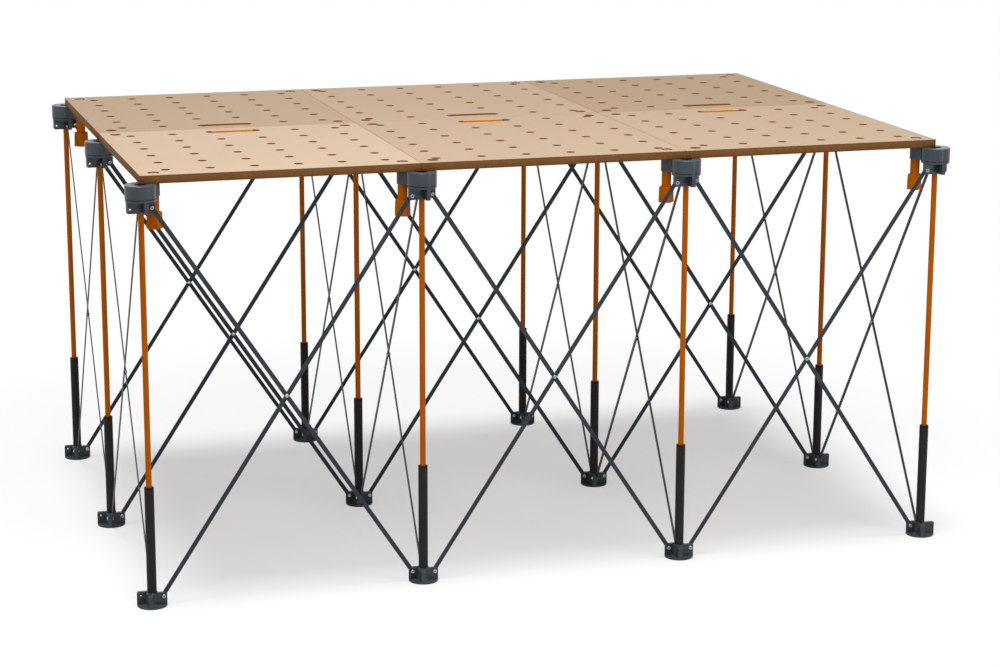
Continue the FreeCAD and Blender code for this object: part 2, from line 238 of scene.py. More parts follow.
def lathe(profile, steps=RING_STEPS):
    """A turned piece: a point drawn along the (radius, height) profile, then spun round Z."""
    bpy.ops.object.select_all(action="DESELECT")
    bpy.ops.mesh.primitive_plane_add(size=MM)
    piece = bpy.context.object
    bpy.context.tool_settings.mesh_select_mode = VERTICES
    bpy.ops.object.mode_set(mode="EDIT")
    bpy.ops.mesh.merge(type="CENTER")
    here = (0.0, 0.0)
    for count, (radius, height) in enumerate(profile):
        step = (radius - here[0], 0, height - here[1])
        if count:
            bpy.ops.mesh.extrude_region_move(TRANSFORM_OT_translate={"value": step})
        else:
            bpy.ops.transform.translate(value=step)
        here = (radius, height)
    bpy.ops.mesh.select_all(action="SELECT")
    bpy.ops.mesh.spin(steps=steps, angle=2 * pi, center=(0, 0, 0), axis=(0, 0, 1))
    bpy.ops.mesh.select_all(action="SELECT")
    bpy.ops.mesh.remove_doubles(threshold=NEAR)
    bpy.ops.mesh.normals_make_consistent(inside=False)
    bpy.ops.object.mode_set(mode="OBJECT")
    return piece


def drawn_out(disc, length):
    """A turned piece pulled apart along X, which leaves it round at both ends."""
    for side in (-1, 1):
        select(disc, VERTICES, lambda p: p.x * side > NEAR)
        shape(bpy.ops.transform.translate, value=(side * length / 2, 0, 0))
    return disc


def bend(radius, height, size, first, last, steps=ARC_STEPS):
    """Profile points round an arc of the given size about (radius, height), between two angles."""
    angles = [radians(first + (last - first) * k / steps) for k in range(steps + 1)]
    return [(radius + size * cos(a), height + size * sin(a)) for a in angles]


def joined(pieces):
    """Several pieces as one object."""
    alone(pieces[0])
    for piece in pieces[1:]:
        piece.select_set(True)
    bpy.ops.object.join()
    return bpy.context.object


def combine(piece, tool, operation):
    """Fuses, cuts or trims a piece with another, which is used up."""
    modifier = piece.modifiers.new("combine", "BOOLEAN")
    modifier.operation, modifier.solver, modifier.object = operation, "EXACT", tool
    alone(piece)
    bpy.ops.object.modifier_apply(modifier=modifier.name)
    bpy.data.objects.remove(tool)
    return piece


def smooth(piece):
    """Merges the doubled points that cuts leave, then shades all but the sharp edges smooth."""
    select(piece, VERTICES, lambda p: True)
    shape(bpy.ops.mesh.remove_doubles, threshold=DOUBLED)
    bpy.ops.object.shade_smooth_by_angle(angle=radians(SMOOTH_ANGLE))
    return piece


def moved(piece, matrix):
    """A copy with its own mesh, its new place in that mesh."""
    copy = piece.copy()
    copy.data = piece.data.copy()
    copy.data.transform(matrix)
    bpy.context.scene.collection.objects.link(copy)
    return copy


def turn(angle):
    return Matrix.Rotation(angle, 4, "Z")


def move(x, y, z=0.0):
    return Matrix.Translation((x, y, z))


LAID_ALONG_Y = Matrix.Rotation(-pi / 2, 4, "X")
QUARTER_TURNS = [turn(k * pi / 2) for k in range(4)]


def place(pattern, name, matrix, body, slot, *nodes):
    """Puts a copy of a modelled piece on its body; the slot argument is not used."""
    piece = moved(pattern, matrix)
    piece.name = piece.data.name = name
    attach(piece, body)
    if nodes:
        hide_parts(*nodes)
    return piece


def used_up(*patterns):
    for pattern in patterns:
        bpy.data.objects.remove(pattern)


# Finishes

NOISE_LOW, NOISE_HIGH = 0.3, 0.7  # where most of a noise's values lie
MIX_FIRST, MIX_SECOND, MIX_RESULT = 6, 7, 2  # the colour sockets of a Mix node
SPOT_SIZE = 2.2 * MM
SPOT_LEVEL, SPOT_FADE = 0.62, 0.06  # where rubbed spots begin, less their amount, and their soft rim
ROUGH_DRIFT = 0.06  # how far a coat's roughness drifts either way
FLECK_SIZE, MOTTLE_SIZE = 2.4 * MM, 9 * MM
CLOUD_SHARE, FLECK_SHARE = 0.3, 0.35  # how strongly they tint a board's face
CUT_MOTTLE_SHARE, CUT_FLECK_SHARE = 0.7, 0.45  # and its cut surfaces
FACE_ROUGH, CUT_ROUGH = (0.62, 0.78), (0.74, 0.88)
FACE_NAP, CUT_NAP = 0.05 * MM, 0.12 * MM  # how deep the fibre's grain is
FACE_SHINE, CUT_SHINE = 0.3, 0.2
DENSE_SKIN = 0.25  # the share of a board's thickness, at each face, in which it gets denser


def paint(red, green, blue):
    """A display colour as the shader's linear one."""
    parts = [value / 255 for value in (red, green, blue)]
    return [p / 12.92 if p <= 0.04045 else ((p + 0.055) / 1.055) ** 2.4 for p in parts] + [1.0]


def add(tree, kind, **settings):
    """A shader node; names with a capital are its sockets, others its own settings."""
    made = tree.nodes.new(kind)
    for name, value in settings.items():
        if name[0].isupper():
            made.inputs[name.replace("_", " ")].default_value = value
        else:
            setattr(made, name, value)
    return made


def group(name, inputs, outputs):
    """An empty shader group with float sockets and a vector called Place, and its two end nodes."""
    tree = bpy.data.node_groups.new(name, "ShaderNodeTree")
    tree.interface.new_socket("Place", in_out="INPUT", socket_type="NodeSocketVector")
    for socket in inputs:
        tree.interface.new_socket(socket, in_out="INPUT", socket_type="NodeSocketFloat")
    for socket in outputs:
        tree.interface.new_socket(socket, in_out="OUTPUT", socket_type="NodeSocketFloat")
    return tree, tree.nodes.new("NodeGroupInput"), tree.nodes.new("NodeGroupOutput")


def scale_for(tree, size):
    """The noise scale for a grain whose size comes from a socket."""
    inverse = add(tree, "ShaderNodeMath", operation="DIVIDE")
    inverse.inputs[0].default_value = 1.0
    tree.links.new(size, inverse.inputs[1])
    return inverse.outputs[0]


def grain_group():
    """Fine moulded or sprayed texture, with a slow drift of shade over the piece."""
    tree, inside, out = group("surface_grain", ("Grain size",), ("Grain", "Drift"))
    fine = add(tree, "ShaderNodeTexNoise", Detail=3.0, Roughness=0.6)
    slow = add(tree, "ShaderNodeTexNoise", Scale=14.0, Detail=4.0, Roughness=0.55)
    tree.links.new(scale_for(tree, inside.outputs["Grain size"]), fine.inputs["Scale"])
    for noise, socket in ((fine, "Grain"), (slow, "Drift")):
        tree.links.new(inside.outputs["Place"], noise.inputs["Vector"])
        tree.links.new(noise.outputs["Fac"], out.inputs[socket])
    return tree


def scuff_group():
    """Rare small rubbed spots, as a mask."""
    tree, inside, out = group("rubbed_spots", ("Spot size", "Amount"), ("Rubbed",))
    spots = add(tree, "ShaderNodeTexNoise", Detail=8.0, Roughness=0.7)
    patches = add(tree, "ShaderNodeTexNoise", Scale=9.0, Detail=2.0)
    both = add(tree, "ShaderNodeMath", operation="MULTIPLY")
    lowest = add(tree, "ShaderNodeMath", operation="SUBTRACT")
    lowest.inputs[0].default_value = SPOT_LEVEL
    highest = add(tree, "ShaderNodeMath", operation="ADD")
    highest.inputs[1].default_value = SPOT_FADE
    mask = add(tree, "ShaderNodeMapRange", To_Min=0.0, To_Max=1.0, interpolation_type="SMOOTHSTEP")
    links = tree.links
    links.new(scale_for(tree, inside.outputs["Spot size"]), spots.inputs["Scale"])
    for noise, factor in zip((spots, patches), both.inputs):
        links.new(inside.outputs["Place"], noise.inputs["Vector"])
        links.new(noise.outputs["Fac"], factor)
    links.new(inside.outputs["Amount"], lowest.inputs[1])
    links.new(lowest.outputs[0], highest.inputs[0])
    links.new(both.outputs[0], mask.inputs["Value"])
    links.new(lowest.outputs[0], mask.inputs["From Min"])
    links.new(highest.outputs[0], mask.inputs["From Max"])
    links.new(mask.outputs["Result"], out.inputs["Rubbed"])
    return tree


def fibre_group():
    """Pressed fibre: short random flecks, and soft clouds of shade."""
    tree, inside, out = group("pressed_fibre", ("Fleck size",), ("Flecks", "Clouds"))
    flecks = add(tree, "ShaderNodeTexNoise", Detail=5.0, Roughness=0.72, Distortion=0.6)
    clouds = add(tree, "ShaderNodeTexNoise", Scale=5.5, Detail=5.0, Roughness=0.6)
    tree.links.new(scale_for(tree, inside.outputs["Fleck size"]), flecks.inputs["Scale"])
    for noise, socket in ((flecks, "Flecks"), (clouds, "Clouds")):
        tree.links.new(inside.outputs["Place"], noise.inputs["Vector"])
        tree.links.new(noise.outputs["Fac"], out.inputs[socket])
    return tree


def finish_of(name):
    """A new material with its shader, and the piece's own coordinates."""
    material = bpy.data.materials.new(name)
    material.use_nodes = True
    tree = material.node_tree
    return material, tree, tree.nodes["Principled BSDF"], add(tree, "ShaderNodeTexCoord").outputs["Object"]


def use(tree, shared, where, **values):
    """One use of a shared group, reading the piece's coordinates."""
    made = add(tree, "ShaderNodeGroup", node_tree=shared)
    for name, value in values.items():
        made.inputs[name.replace("_", " ")].default_value = value
    tree.links.new(where, made.inputs["Place"])
    return made


def blend(tree, factor, first, second):
    """Two colours, or sockets, mixed by a mask."""
    mix = add(tree, "ShaderNodeMix", data_type="RGBA")
    tree.links.new(factor, mix.inputs["Factor"])
    for value, socket in ((first, mix.inputs[MIX_FIRST]), (second, mix.inputs[MIX_SECOND])):
        if isinstance(value, bpy.types.NodeSocket):
            tree.links.new(value, socket)
        else:
            socket.default_value = value
    return mix.outputs[MIX_RESULT]


def spread(tree, value, low, high):
    """A noise stretched between two values."""
    made = add(tree, "ShaderNodeMapRange", From_Min=NOISE_LOW, From_Max=NOISE_HIGH, To_Min=low, To_Max=high)
    tree.links.new(value, made.inputs["Value"])
    return made.outputs["Result"]


def raise_bump(tree, height, shader, distance):
    bump = add(tree, "ShaderNodeBump", Distance=distance, Strength=1.0)
    tree.links.new(height, bump.inputs["Height"])
    tree.links.new(bump.outputs["Normal"], shader.inputs["Normal"])


GRAIN, SCUFF, FIBRE = grain_group(), scuff_group(), fibre_group()


def coated(name, light, dark, rough, grain_size, grain_deep, rubbed=None, metal=0.0, shine=0.1):
    """Moulded plastic, paint or plated metal: a drift of shade, a fine grain and, if wanted, rubbed spots.

    Rubbed spots are given as their colour and amount.
    """
    material, tree, shader, where = finish_of(name)
    grain = use(tree, GRAIN, where, Grain_size=grain_size)
    drift = grain.outputs["Drift"]
    colour = blend(tree, spread(tree, drift, 0, 1), dark, light)
    if rubbed:
        bare, amount = rubbed
        spots = use(tree, SCUFF, where, Spot_size=SPOT_SIZE, Amount=amount)
        colour = blend(tree, spots.outputs["Rubbed"], colour, bare)
    tree.links.new(colour, shader.inputs["Base Color"])
    roughness = spread(tree, drift, rough - ROUGH_DRIFT, rough + ROUGH_DRIFT)
    tree.links.new(roughness, shader.inputs["Roughness"])
    raise_bump(tree, grain.outputs["Grain"], shader, grain_deep)
    shader.inputs["Metallic"].default_value = metal
    shader.inputs["Specular IOR Level"].default_value = shine
    return material


def board_face(dark, light, cloudy, flecked):
    """The sanded face: pale, with fine flecks, and each board a tone of its own."""
    material, tree, shader, where = finish_of("fibreboard_face")
    fibre = use(tree, FIBRE, where, Fleck_size=FLECK_SIZE)
    tone = add(tree, "ShaderNodeAttribute", attribute_name=TONE)
    board_tone = blend(tree, tone.outputs["Fac"], dark, light)
    cloud = blend(tree, spread(tree, fibre.outputs["Clouds"], 0, CLOUD_SHARE), board_tone, cloudy)
    colour = blend(tree, spread(tree, fibre.outputs["Flecks"], 0, FLECK_SHARE), cloud, flecked)
    tree.links.new(colour, shader.inputs["Base Color"])
    tree.links.new(spread(tree, fibre.outputs["Clouds"], *FACE_ROUGH), shader.inputs["Roughness"])
    raise_bump(tree, fibre.outputs["Flecks"], shader, FACE_NAP)
    shader.inputs["Specular IOR Level"].default_value = FACE_SHINE
    return material


def board_cut(name, dense, core, mottle):
    """A sawn or drilled surface: browner than the faces, and denser towards both of them."""
    material, tree, shader, where = finish_of(name)
    fibre = use(tree, FIBRE, where, Fleck_size=FLECK_SIZE)
    height = add(tree, "ShaderNodeSeparateXYZ")
    tree.links.new(where, height.inputs[0])
    through = add(tree, "ShaderNodeMapRange", From_Min=HEAD_TOP, From_Max=BOARD_TOP)
    tree.links.new(height.outputs["Z"], through.inputs["Value"])
    layers = add(tree, "ShaderNodeValToRGB")
    ramp = layers.color_ramp
    ramp.elements[0].color, ramp.elements[1].color = dense, dense
    for position in (DENSE_SKIN, 1 - DENSE_SKIN):
        ramp.elements.new(position).color = core
    tree.links.new(through.outputs["Result"], layers.inputs["Fac"])
    mottled = use(tree, FIBRE, where, Fleck_size=MOTTLE_SIZE)
    patchy = spread(tree, mottled.outputs["Flecks"], 0, CUT_MOTTLE_SHARE)
    patches = blend(tree, patchy, layers.outputs["Color"], mottle)
    colour = blend(tree, spread(tree, fibre.outputs["Flecks"], 0, CUT_FLECK_SHARE), patches, core)
    tree.links.new(colour, shader.inputs["Base Color"])
    tree.links.new(spread(tree, fibre.outputs["Clouds"], *CUT_ROUGH), shader.inputs["Roughness"])
    raise_bump(tree, fibre.outputs["Flecks"], shader, CUT_NAP)
    shader.inputs["Specular IOR Level"].default_value = CUT_SHINE
    return material


BOARD_FACE = board_face(dark=paint(149, 124, 95), light=paint(228, 207, 184),
                        cloudy=paint(202, 172, 140), flecked=paint(183, 152, 120))
BOARD_SIDE = board_cut("fibreboard_edge", paint(116, 75, 36), paint(159, 110, 60), paint(105, 65, 30))
# The drilled holes get the cut fibre painted lighter: painted light, standing in for the light that falls
# into them from above.
BOARD_BORE_PAINTED_LIGHT = board_cut("fibreboard_bore_painted_light", paint(162, 112, 64), paint(182, 131, 80), paint(146, 97, 52))
HEAD_PLASTIC = coated("slate_moulding", paint(76, 88, 96), paint(66, 78, 86), rough=0.28,
                      grain_size=0.5 * MM, grain_deep=0.03 * MM, shine=0.35)
FOOT_PLASTIC = coated("dark_moulding", paint(70, 78, 84), paint(58, 66, 71), rough=0.34,
                      grain_size=0.5 * MM, grain_deep=0.03 * MM, shine=0.3)
BLACK_PLASTIC = coated("black_moulding", paint(34, 34, 35), paint(26, 26, 27), rough=0.5,
                       grain_size=0.5 * MM, grain_deep=0.02 * MM)
ORANGE_COAT = coated("orange_powder_coat", paint(236, 119, 2), paint(222, 107, 0), rough=0.36,
                     grain_size=1.6 * MM, grain_deep=0.015 * MM, shine=0.03)
BLACK_COAT = coated("black_powder_coat", paint(56, 52, 52), paint(46, 43, 43), rough=0.42,
                    grain_size=1.4 * MM, grain_deep=0.03 * MM)
BAR_COAT = coated("charcoal_paint", paint(76, 86, 92), paint(62, 72, 78), rough=0.4,
                  grain_size=1.2 * MM, grain_deep=0.02 * MM, rubbed=(paint(120, 127, 131), 0.12))
KNOB_PLASTIC = coated("orange_moulding", paint(235, 129, 0), paint(225, 117, 0), rough=0.4,
                      grain_size=0.6 * MM, grain_deep=0.03 * MM, shine=0.04)
# The grip's own orange, set paler than it is: painted light, standing in for the light that reaches it down
# in its slot.
GRIP_PLASTIC_PAINTED_LIGHTER = coated("orange_grip_painted_lighter", paint(255, 165, 44), paint(250, 150, 30), rough=0.4,
                      grain_size=0.5 * MM, grain_deep=0.03 * MM)
ZINC = coated("zinc_plate", paint(178, 185, 189), paint(148, 155, 159), rough=0.3,
              grain_size=0.8 * MM, grain_deep=0.02 * MM, metal=1.0)


def coat(piece, *materials):
    piece.data.materials.clear()
    for material in materials:
        piece.data.materials.append(material)
    return piece


# Boards

def drill(diameter, low, high):
    """A cutter along Z for a through hole, flared at both faces so that the rims come out eased."""
    radius, wide = diameter / 2, diameter / 2 + 2 * RIM_EASE
    profile = [(0, low - RIM_EASE), (wide, low - RIM_EASE), (radius, low + RIM_EASE)]
    profile += [(radius, high - RIM_EASE), (wide, high + RIM_EASE), (0, high + RIM_EASE)]
    return lathe(profile, HOLE_STEPS)


def bolt_seat_drill():
    """A cutter for a corner hole: a flat seat for a bolt head, and the bolt's own hole below it."""
    radius, narrow = CORNER_HOLE_D / 2, BOLT_HOLE_D / 2
    below, seat, top = HEAD_TOP - BOARD_T, BOARD_TOP - CORNER_HOLE_DEEP, BOARD_TOP + RIM_EASE
    profile = [(0, below), (narrow, below), (narrow, seat), (radius, seat), (radius, BOARD_TOP - RIM_EASE)]
    profile += [(radius + 2 * RIM_EASE, top), (0, top)]
    return lathe(profile, HOLE_STEPS)


def slot_drill():
    """A round-ended cutter for a hand slot."""
    cutter = drawn_out(drill(SLOT_W, HEAD_TOP, BOARD_TOP), SLOT_L - SLOT_W)
    cutter.data.transform(move(0, PITCH / 2 - SLOT_IN))
    return cutter


def finish_at(face, half):
    """0 on a board's two faces, 1 on its sawn sides and 2 in its drilled holes, whose cut fibre is painted
    lighter.
    """
    if abs(face.normal.z) > CUT_SLOPE:
        return 0
    return 1 if max(abs(face.center.x), abs(face.center.y)) > half - BOARD_EDGE - NEAR else 2


def board(dog_pitch):
    """One board with its seam edge towards +Y, centred on the Z axis."""
    half = (PITCH - SEAM) / 2
    slab = soften(block((-half, -half, HEAD_TOP), (half, half, BOARD_TOP)), BOARD_EDGE)
    dog, seat = drill(DOG_D, HEAD_TOP, BOARD_TOP), bolt_seat_drill()
    drills = [slot_drill()]
    for i in range(DOG_COUNT):
        for j in range(DOG_COUNT):
            x, y = [(n - (DOG_COUNT - 1) / 2) * gap for n, gap in zip((i, j), dog_pitch)]
            if j < DOG_COUNT - 1 or abs(x) > SLOT_L / 2:
                drills.append(moved(dog, move(x, y)))
    corner = PITCH / 2 - CORNER_HOLE_IN
    drills += [moved(seat, move(x, y)) for x in (-corner, corner) for y in (-corner, corner)]
    combine(slab, joined(drills), "DIFFERENCE")
    used_up(dog, seat)
    coat(smooth(slab), BOARD_FACE, BOARD_SIDE, BOARD_BORE_PAINTED_LIGHT)
    slab.data.polygons.foreach_set("material_index", [finish_at(face, half) for face in slab.data.polygons])
    return slab


def grip():
    """The moulded liner on the seam side of a hand slot: a bar, rounded towards the slot, its own orange
    painted paler to stand in for the light down in the slot.
    """
    wall, reach = PITCH / 2 - SLOT_IN + SLOT_W / 2, (SLOT_L - SLOT_W) / 2
    bar = block((-reach, wall - GRIP_T, HEAD_TOP), (reach, wall, BOARD_TOP))
    soften(bar, GRIP_ROUND, lambda p, way: abs(p.y - wall + GRIP_T) < NEAR, segments=4)
    return coat(smooth(bar), GRIP_PLASTIC_PAINTED_LIGHTER)


def boards_and_grips():
    patterns = {pitch: board(pitch) for pitch in (SIDE_DOG_PITCH, MID_DOG_PITCH)}
    liner = grip()
    board_node, grip_node = ["worktop_panels"], ["panel_grips"]
    for r, (row, tones) in enumerate(BOARD_TONES.items()):
        for c, tone in enumerate(tones):
            where = move((c - 1) * PITCH, (r - 0.5) * PITCH) @ turn(pi * r)
            pattern = patterns[MID_DOG_PITCH if c == 1 else SIDE_DOG_PITCH]
            panel = place(pattern, f"board_{row}_{c + 1}", where, "worktop", "board", *board_node)
            shade = panel.data.attributes.new(TONE, "FLOAT", "FACE")
            shade.data.foreach_set("value", [tone] * len(panel.data.polygons))
            place(liner, f"hand_grip_{row}_{c + 1}", where, "worktop", "grip", *grip_node)
            board_node, grip_node = [], []  # the first board and grip replace the nodes of all six
    used_up(liner, *patterns.values())


# Rivets, bars and washers

def rivet(grip_length):
    """A tubular rivet along Z, its first end below the origin: both ends are rolled over into a rim."""
    shank, roll = RIVET_D / 2, (RIVET_HEAD_D + RIVET_BORE_D) / 4
    profile = bend(roll, 0, RIVET_HEAD_T, 0, -180, RIM_STEPS)
    profile += bend(roll, grip_length, RIVET_HEAD_T, 180, 0, RIM_STEPS)
    profile += [(shank, grip_length), (shank, 0), profile[0]]
    return coat(smooth(lathe(profile, ROUND_STEPS)), ZINC)


def flat_bar():
    """One bar along Z, centred on the origin, with rounded ends and three rivet holes."""
    side, thick = BAR_W / 2, BAR_T / 2
    profile = [(0, -thick), (side - BAR_EDGE, -thick), (side, BAR_EDGE - thick)]
    profile += [(side, thick - BAR_EDGE), (side - BAR_EDGE, thick), (0, thick)]
    bar = drawn_out(lathe(profile, HOLE_STEPS), BAR_L)
    drills = [drum(RIVET_D, -BAR_T, BAR_T, along, 0, ROUND_STEPS) for along in (-BAR_L / 2, 0, BAR_L / 2)]
    combine(bar, joined(drills), "DIFFERENCE")
    bar.data.transform(Matrix.Rotation(pi / 2, 4, "Y") @ Matrix.Rotation(pi / 2, 4, "X"))
    return coat(smooth(bar), BAR_COAT)


def washer():
    ring, bore = WASHER_D / 2, RIVET_D / 2
    profile = [(bore, 0), (ring, 0), (ring, WASHER_T), (bore, WASHER_T), (bore, 0)]
    return coat(smooth(lathe(profile, ROUND_STEPS)), ZINC)


def bars():
    strip, pin, spacer = flat_bar(), rivet(CROSSING_GRIP), washer()
    up = move(0, -BAR_OFF) @ Matrix.Rotation(BAR_LEAN, 4, "Y")
    down = move(0, BAR_OFF) @ Matrix.Rotation(-BAR_LEAN, 4, "Y")
    pin_at = move(0, -BAR_OFF - BAR_T / 2) @ LAID_ALONG_Y
    spacer_at = move(0, -BAR_GAP / 2) @ LAID_ALONG_Y
    middle = move(PITCH / 2, 0, (FOOT_PIVOT + HEAD_PIVOT) / 2)
    for (row, n), leg in LEG_AT.items():
        ways = {}
        if n < COLUMNS[-1]:
            ways["long_bar"] = 0
        if row != ROWS[-1]:
            ways["cross_bar"] = pi / 2
        for kind, angle in ways.items():
            name = f"{kind}_{row}_{n}"
            here = Matrix.Translation(leg) @ turn(angle) @ middle
            for way, lean in (("up", up), ("down", down)):
                node = f"{name}_{way}"
                place(strip, f"{node}_strip", here @ lean, node, "bar_steel", node)
            place(pin, f"{name}_pin", here @ pin_at, f"{name}_up", "bar_steel")
            place(spacer, f"{name}_washer", here @ spacer_at, f"{name}_up", "bar_steel")
    used_up(strip, pin, spacer)


# Moulded feet and heads

def lug(reach, fixed, free, side):
    """The plate on a hub's +X side, its free corner rounded and its end trimmed to the hub's circle."""
    near, far = sorted((side * LUG_IN, side * LUG_OUT))
    low, high = sorted((fixed, free))
    plate = block((0, near, low), (reach, far, high))

    def free_corner(p, way):
        return abs(way.y) > ALONG and abs(p.z - free) < NEAR and p.x > reach - NEAR

    soften(plate, LUG_ROUND, free_corner, segments=8)
    combine(plate, drum(2 * reach, low - LUG_T, high + LUG_T, sides=RING_STEPS), "INTERSECT")
    return ease(plate, MOULD_EDGE)


def hub(core, plate, pivot, side, bores):
    """The core with four lugs fused round it, then the rivet holes and the bores cut."""
    for quarter in QUARTER_TURNS:
        combine(core, moved(plate, quarter), "UNION")
    hole = drum(RIVET_D, -LUG_T, LUG_T, sides=ROUND_STEPS)
    at_lug = move(PIVOT_OUT, side * (LUG_IN + LUG_T / 2), pivot) @ LAID_ALONG_Y
    holes = [moved(hole, quarter @ at_lug) for quarter in QUARTER_TURNS]
    combine(core, joined(holes + bores), "DIFFERENCE")
    used_up(plate, hole)
    return smooth(core)


def foot():
    rim, shoulder = FOOT_R - SOLE_EASE, FOOT_HUB_H - HUB_SHOULDER
    profile = [(0, 0), (FOOT_R - SOLE_ROUND, 0)] + bend(FOOT_R - SOLE_ROUND, SOLE_ROUND, SOLE_ROUND, -75, 0)
    profile += bend(rim, SOLE_H - SOLE_EASE, SOLE_EASE, 0, 90)
    profile += bend(FOOT_HUB_R + HUB_FILLET, SOLE_H + HUB_FILLET, HUB_FILLET, 270, 180)
    profile += [(FOOT_HUB_R, shoulder), (LOWER_D / 2 + HUB_RIM, FOOT_HUB_H), (0, FOOT_HUB_H)]
    leg_seat = drum(LOWER_D, SOLE_H, 2 * FOOT_H, sides=RING_STEPS)
    plate = lug(FOOT_R - FOOT_LUG_IN, SOLE_H / 2, FOOT_H, FOOT_SIDE)
    return coat(hub(lathe(profile), plate, FOOT_PIVOT, FOOT_SIDE, [leg_seat]), FOOT_PLASTIC)


def clamp_arm():
    """The arm on a ring's +X side, ending in a round boss."""
    low = HEAD_TOP - ARM_H
    root = sqrt((RING_R - RING_WALL / 2) ** 2 - (ARM_W / 2) ** 2)
    beam = block((root, -ARM_W / 2, low), (CLAMP_OUT, ARM_W / 2, HEAD_TOP))
    boss = soften(drum(ARM_W, low, HEAD_TOP, CLAMP_OUT, 0, RING_STEPS), ARM_EDGE, level)
    soften(beam, ARM_EDGE, lambda p, way: abs(way.x) > ALONG)
    combine(beam, boss, "UNION")
    return combine(beam, drum(STUD_HOLE_D, low - ARM_H, HEAD_TOP + ARM_H, CLAMP_OUT), "DIFFERENCE")


def head(clamp_angle):
    """The ring with its peg socket over the bracket; with an angle, a clamp arm too."""
    top, under, low = HEAD_TOP, HEAD_TOP - RING_H, BRACKET_LOW
    socket, boss, inside = SOCKET_D / 2, SOCKET_D / 2 + SOCKET_WALL, RING_R - RING_WALL
    hub_low, groove, lip = low + HEAD_HUB_SHORT, top - GROOVE_DOWN, RING_R - LIP_STEP
    profile = [(0, top)] + bend(RING_R - RING_ROUND, top - RING_ROUND, RING_ROUND, 90, 0)
    profile += [(RING_R, groove), (RING_R - GROOVE_DEEP, groove - GROOVE_W), (lip, groove - 2 * GROOVE_W)]
    profile += bend(lip - RING_LOW_ROUND, under + RING_LOW_ROUND, RING_LOW_ROUND, 0, -90)
    profile += [(inside, under), (inside, top - RING_TOP_T), (boss, top - RING_TOP_T), (boss, under),
                (HEAD_HUB_R, under), (HEAD_HUB_R, hub_low), (0, hub_low)]
    core = lathe(profile)
    if clamp_angle is not None:
        arm = clamp_arm()
        arm.data.transform(turn(clamp_angle))
        combine(core, arm, "UNION")
    leg_seat = drum(UPPER_D, low - RING_H, top - TUBE_SEAT, sides=RING_STEPS)
    peg_socket = lathe([(0, top - SOCKET_DEEP), (socket, top - SOCKET_DEEP), (socket, top - SOCKET_EASE),
                        (socket + 2 * SOCKET_EASE, top + SOCKET_EASE), (0, top + SOCKET_EASE)])
    plate = lug(BRACKET_R, top - RING_TOP_T / 2, low, HEAD_SIDE)
    return coat(hub(core, plate, HEAD_PIVOT, HEAD_SIDE, [leg_seat, peg_socket]), HEAD_PLASTIC)


# Tubes and what slides in them

def pipe(diameter, low, high):
    outer, inner = diameter / 2, diameter / 2 - TUBE_WALL
    eased = outer - TUBE_EDGE
    profile = [(inner, low), (eased, low), (outer, low + TUBE_EDGE), (outer, high - TUBE_EDGE)]
    profile += [(eased, high), (inner, high), (inner, low)]
    return smooth(lathe(profile, TUBE_STEPS))


def collar():
    """The guide in the top of an outer tube."""
    bore, outside = UPPER_D / 2 + COLLAR_RUN, LOWER_D / 2
    low, lip = LOWER_TOP - COLLAR_IN, LOWER_TOP + COLLAR_LIP
    profile = [(bore, low), (LOWER_BORE, low), (LOWER_BORE, LOWER_TOP), (outside, LOWER_TOP)]
    profile += bend(outside - COLLAR_ROUND, lip - COLLAR_ROUND, COLLAR_ROUND, 0, 90)
    profile += [(bore + COLLAR_EASE, lip), (bore, lip - COLLAR_EASE), (bore, low)]
    return coat(smooth(lathe(profile, TUBE_STEPS)), BLACK_PLASTIC)


def plug():
    """The slider on the lower end of an inner tube."""
    low, outer, seat = SOLE_H + FOOT_RUN, LOWER_BORE - PLUG_RUN, UPPER_D / 2
    high, floor = low + PLUG_L, low + PLUG_FLOOR
    profile = [(0, low), (outer - PLUG_EDGE, low), (outer, low + PLUG_EDGE), (outer, high)]
    profile += [(seat, high), (seat, floor), (0, floor)]
    return coat(smooth(lathe(profile, TUBE_STEPS)), BLACK_PLASTIC)


# Clamp knobs, studs and bolts

def knob():
    """An eight-sided stem over a block that flares downwards, for a clamp that points along +X."""
    stem_top = HEAD_TOP - ARM_H
    knob_top, low = stem_top - STEM_L, stem_top - STEM_L - KNOB_L
    corners = STEM_AF / cos(pi / STEM_SIDES)
    stem = drum(corners, knob_top - KNOB_SHOULDER, stem_top, sides=STEM_SIDES)
    soften(stem, STEM_GROOVE, upright, profile=0.0)
    half = KNOB_TOP / 2
    grip_block = block((-half, -half, low), (half, half, knob_top - KNOB_SHOULDER))
    select(grip_block, FACES, lambda p, normal: normal.z < -ALONG)
    shape(bpy.ops.transform.resize, value=(KNOB_BOTTOM / KNOB_TOP,) * 2 + (1,))
    select(grip_block, FACES, lambda p, normal: normal.z > ALONG)
    shape(bpy.ops.mesh.extrude_region_move, TRANSFORM_OT_translate={"value": (0, 0, KNOB_SHOULDER)})
    shape(bpy.ops.transform.resize, value=(KNOB_NECK / KNOB_TOP,) * 2 + (1,))
    soften(grip_block, KNOB_ROUND, upright, segments=5)
    soften(grip_block, KNOB_EDGE, level, segments=3)
    combine(grip_block, stem, "UNION")
    grip_block.data.transform(move(CLAMP_OUT, 0))
    return coat(smooth(grip_block), KNOB_PLASTIC)


def stud():
    """The stud from inside a knob's stem up through its arm."""
    low, high, radius = HEAD_TOP - ARM_H - STUD_GRIP, HEAD_TOP - STUD_BACK, STUD_D / 2
    profile = [(0, low), (radius, low), (radius, high - STUD_EDGE), (radius - STUD_EDGE, high), (0, high)]
    piece = lathe(profile, ROUND_STEPS)
    piece.data.transform(move(CLAMP_OUT, 0))
    return coat(smooth(piece), ZINC)


